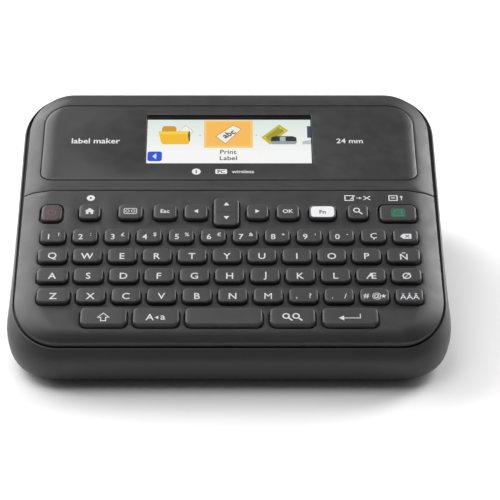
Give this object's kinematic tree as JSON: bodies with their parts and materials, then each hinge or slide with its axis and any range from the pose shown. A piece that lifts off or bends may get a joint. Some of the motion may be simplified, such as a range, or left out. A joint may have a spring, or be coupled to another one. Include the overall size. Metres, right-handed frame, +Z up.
{
  "type": "label maker",
  "caption": "Desktop label maker with a sloping keyboard, a wide colour display, sprung keys, a hinged back, a tape drive and a battery bay.",
  "frame": {"origin": "on the surface it stands on, under the middle of the case's box", "axes": "+X to the user's right along the keyboard, +Y away from the user, +Z up"},
  "size_m": [0.201, 0.192, 0.0806],
  "materials": {
    "case": "fine moulded texture, satin",
    "keys": "smooth satin",
    "white_key": "smooth satin",
    "panel": "gloss",
    "screen": "lit display",
    "clear": "clear smoked plastic",
    "foot": "matte",
    "rubber": "matte",
    "board": "solder mask",
    "steel": "brushed",
    "brass": "turned",
    "gear": "natural acetal",
    "frame": "moulded",
    "cassette": "moulded, satin",
    "tape": "wound film",
    "ribbon": "wound ink film",
    "cell": "gloss sleeve"
  },
  "bodies": {
    "case": {"bottom_case": "case", "keyboard_deck": "case", "display_housing": "case", "display_panel": "panel", "lcd_module": "screen", "foot_front_left": "foot", "foot_front_right": "foot", "foot_rear_left": "foot", "foot_rear_right": "foot", "main_board": "board", "key_contact_board": "board", "dc_inlet": "rubber", "usb_port": "steel", "tape_frame": "frame", "drive_motor": "steel", "tape_cassette": "cassette", "battery_holder": "frame", "battery_1": "cell", "battery_2": "cell", "battery_3": "cell", "battery_4": "cell", "battery_5": "cell", "battery_6": "cell", "battery_contact_top": "steel", "battery_contact_bottom": "steel"},
    "rear_cover": {"rear_cover": "case", "cassette_window": "clear"},
    "cover_latch": {"cover_latch": "keys"},
    "key_power": {"key_power": "keys"},
    "key_home": {"key_home": "keys"},
    "key_templates": {"key_templates": "keys"},
    "key_escape": {"key_escape": "keys"},
    "key_left": {"key_left": "keys"},
    "key_right": {"key_right": "keys"},
    "key_ok": {"key_ok": "keys"},
    "key_function": {"key_function": "white_key"},
    "key_search": {"key_search": "keys"},
    "key_print": {"key_print": "keys"},
    "key_shift": {"key_shift": "keys"},
    "key_accent": {"key_accent": "keys"},
    "key_space": {"key_space": "keys"},
    "key_preview": {"key_preview": "keys"},
    "key_enter": {"key_enter": "keys"},
    "key_up_down": {"key_up_down": "keys"},
    "number_keys": {"number_keys": "keys"},
    "upper_letter_keys": {"upper_letter_keys": "keys"},
    "middle_letter_keys": {"middle_letter_keys": "keys"},
    "lower_letter_keys": {"lower_letter_keys": "keys"},
    "platen": {"platen_roller": "rubber", "platen_gear": "gear"},
    "feed": {"feed_roller": "rubber", "feed_gear": "gear"},
    "idler": {"idler_gear": "gear"},
    "pinion": {"motor_pinion": "brass"},
    "tape_spool": {"tape_spool": "tape"},
    "ribbon_spool": {"ribbon_spool": "ribbon"},
    "head_arm": {"head_arm": "frame", "print_head": "steel"},
    "release_lever": {"release_lever": "frame"},
    "cutter": {"cutter_blade": "steel"}
  },
  "joints": [
    {"name": "cover_hinge", "type": "hinge", "parent": "case", "child": "rear_cover", "pos_m": [0, 0.085, 0.005], "axis": [1, 0, 0], "range_deg": [-65, 0]},
    {"name": "latch_slide", "type": "slide", "parent": "rear_cover", "child": "cover_latch", "axis": [0, 0.7161, -0.698], "range_m": [0, 0.0025], "stiffness_N_per_m": 300, "springref_m": -0.001},
    {"name": "key_power_press", "type": "slide", "parent": "case", "child": "key_power", "axis": [0, 0.342, -0.9397], "range_m": [0, 0.0012], "stiffness_N_per_m": 500, "springref_m": -0.0005},
    {"name": "key_home_press", "type": "slide", "parent": "case", "child": "key_home", "axis": [0, 0.342, -0.9397], "range_m": [0, 0.0012], "stiffness_N_per_m": 500, "springref_m": -0.0005},
    {"name": "key_templates_press", "type": "slide", "parent": "case", "child": "key_templates", "axis": [0, 0.342, -0.9397], "range_m": [0, 0.0012], "stiffness_N_per_m": 500, "springref_m": -0.0005},
    {"name": "key_escape_press", "type": "slide", "parent": "case", "child": "key_escape", "axis": [0, 0.342, -0.9397], "range_m": [0, 0.0012], "stiffness_N_per_m": 500, "springref_m": -0.0005},
    {"name": "key_left_press", "type": "slide", "parent": "case", "child": "key_left", "axis": [0, 0.342, -0.9397], "range_m": [0, 0.0012], "stiffness_N_per_m": 500, "springref_m": -0.0005},
    {"name": "key_right_press", "type": "slide", "parent": "case", "child": "key_right", "axis": [0, 0.342, -0.9397], "range_m": [0, 0.0012], "stiffness_N_per_m": 500, "springref_m": -0.0005},
    {"name": "key_ok_press", "type": "slide", "parent": "case", "child": "key_ok", "axis": [0, 0.342, -0.9397], "range_m": [0, 0.0012], "stiffness_N_per_m": 500, "springref_m": -0.0005},
    {"name": "key_function_press", "type": "slide", "parent": "case", "child": "key_function", "axis": [0, 0.342, -0.9397], "range_m": [0, 0.0012], "stiffness_N_per_m": 500, "springref_m": -0.0005},
    {"name": "key_search_press", "type": "slide", "parent": "case", "child": "key_search", "axis": [0, 0.342, -0.9397], "range_m": [0, 0.0012], "stiffness_N_per_m": 500, "springref_m": -0.0005},
    {"name": "key_print_press", "type": "slide", "parent": "case", "child": "key_print", "axis": [0, 0.342, -0.9397], "range_m": [0, 0.0012], "stiffness_N_per_m": 500, "springref_m": -0.0005},
    {"name": "key_shift_press", "type": "slide", "parent": "case", "child": "key_shift", "axis": [0, 0.342, -0.9397], "range_m": [0, 0.0012], "stiffness_N_per_m": 500, "springref_m": -0.0005},
    {"name": "key_accent_press", "type": "slide", "parent": "case", "child": "key_accent", "axis": [0, 0.342, -0.9397], "range_m": [0, 0.0012], "stiffness_N_per_m": 500, "springref_m": -0.0005},
    {"name": "key_space_press", "type": "slide", "parent": "case", "child": "key_space", "axis": [0, 0.342, -0.9397], "range_m": [0, 0.0012], "stiffness_N_per_m": 500, "springref_m": -0.0005},
    {"name": "key_preview_press", "type": "slide", "parent": "case", "child": "key_preview", "axis": [0, 0.342, -0.9397], "range_m": [0, 0.0012], "stiffness_N_per_m": 500, "springref_m": -0.0005},
    {"name": "key_enter_press", "type": "slide", "parent": "case", "child": "key_enter", "axis": [0, 0.342, -0.9397], "range_m": [0, 0.0012], "stiffness_N_per_m": 500, "springref_m": -0.0005},
    {"name": "key_up_down_rock", "type": "hinge", "parent": "case", "child": "key_up_down", "pos_m": [-0.0012, -0.02041, 0.05016], "axis": [1, 0, 0], "range_deg": [-4, 4], "stiffness_Nm_per_rad": 0.5},
    {"name": "number_keys_press", "type": "slide", "parent": "case", "child": "number_keys", "axis": [0, 0.342, -0.9397], "range_m": [0, 0.0012], "stiffness_N_per_m": 800, "springref_m": -0.0005},
    {"name": "upper_letter_keys_press", "type": "slide", "parent": "case", "child": "upper_letter_keys", "axis": [0, 0.342, -0.9397], "range_m": [0, 0.0012], "stiffness_N_per_m": 800, "springref_m": -0.0005},
    {"name": "middle_letter_keys_press", "type": "slide", "parent": "case", "child": "middle_letter_keys", "axis": [0, 0.342, -0.9397], "range_m": [0, 0.0012], "stiffness_N_per_m": 800, "springref_m": -0.0005},
    {"name": "lower_letter_keys_press", "type": "slide", "parent": "case", "child": "lower_letter_keys", "axis": [0, 0.342, -0.9397], "range_m": [0, 0.0012], "stiffness_N_per_m": 800, "springref_m": -0.0005},
    {"name": "platen_spin", "type": "hinge", "parent": "case", "child": "platen", "pos_m": [-0.07478, 0.054, 0.03892], "axis": [0, 1, 0], "continuous": true},
    {"name": "feed_spin", "type": "hinge", "parent": "case", "child": "feed", "pos_m": [-0.08918, 0.054, 0.03742], "axis": [0, 1, 0], "continuous": true},
    {"name": "idler_spin", "type": "hinge", "parent": "case", "child": "idler", "pos_m": [-0.08226, 0.054, 0.02124], "axis": [0, 1, 0], "continuous": true},
    {"name": "pinion_spin", "type": "hinge", "parent": "case", "child": "pinion", "pos_m": [-0.06562, 0.054, 0.0189], "axis": [0, 1, 0], "continuous": true},
    {"name": "tape_spool_spin", "type": "hinge", "parent": "case", "child": "tape_spool", "pos_m": [-0.0281, 0.054, 0.035], "axis": [0, 1, 0], "continuous": true},
    {"name": "ribbon_spool_spin", "type": "hinge", "parent": "case", "child": "ribbon_spool", "pos_m": [-0.05488, 0.054, 0.0181], "axis": [0, 1, 0], "continuous": true},
    {"name": "lever_swing", "type": "hinge", "parent": "case", "child": "release_lever", "pos_m": [-0.083, 0.042, 0.0656], "axis": [0, 1, 0], "range_deg": [-12, 0], "stiffness_Nm_per_rad": 0.05, "springref_deg": 11.46},
    {"name": "head_swing", "type": "hinge", "parent": "case", "child": "head_arm", "pos_m": [-0.06948, 0.055, 0.02642], "axis": [0, 1, 0], "range_deg": [-8, 0], "stiffness_Nm_per_rad": 0.05, "springref_deg": 11.46},
    {"name": "cutter_slide", "type": "slide", "parent": "case", "child": "cutter", "axis": [0, 0, -1], "range_m": [0, 0.008], "stiffness_N_per_m": 200, "springref_m": -0.003}
  ],
  "couplings": [
    {"joint": "idler_spin", "follows": "platen_spin", "ratio": -0.6},
    {"joint": "feed_spin", "follows": "platen_spin", "ratio": 1.2857},
    {"joint": "pinion_spin", "follows": "platen_spin", "ratio": 1.5},
    {"joint": "tape_spool_spin", "follows": "platen_spin", "ratio": -0.225},
    {"joint": "ribbon_spool_spin", "follows": "platen_spin", "ratio": -0.6},
    {"joint": "head_swing", "follows": "lever_swing", "ratio": 0.66667}
  ]
}
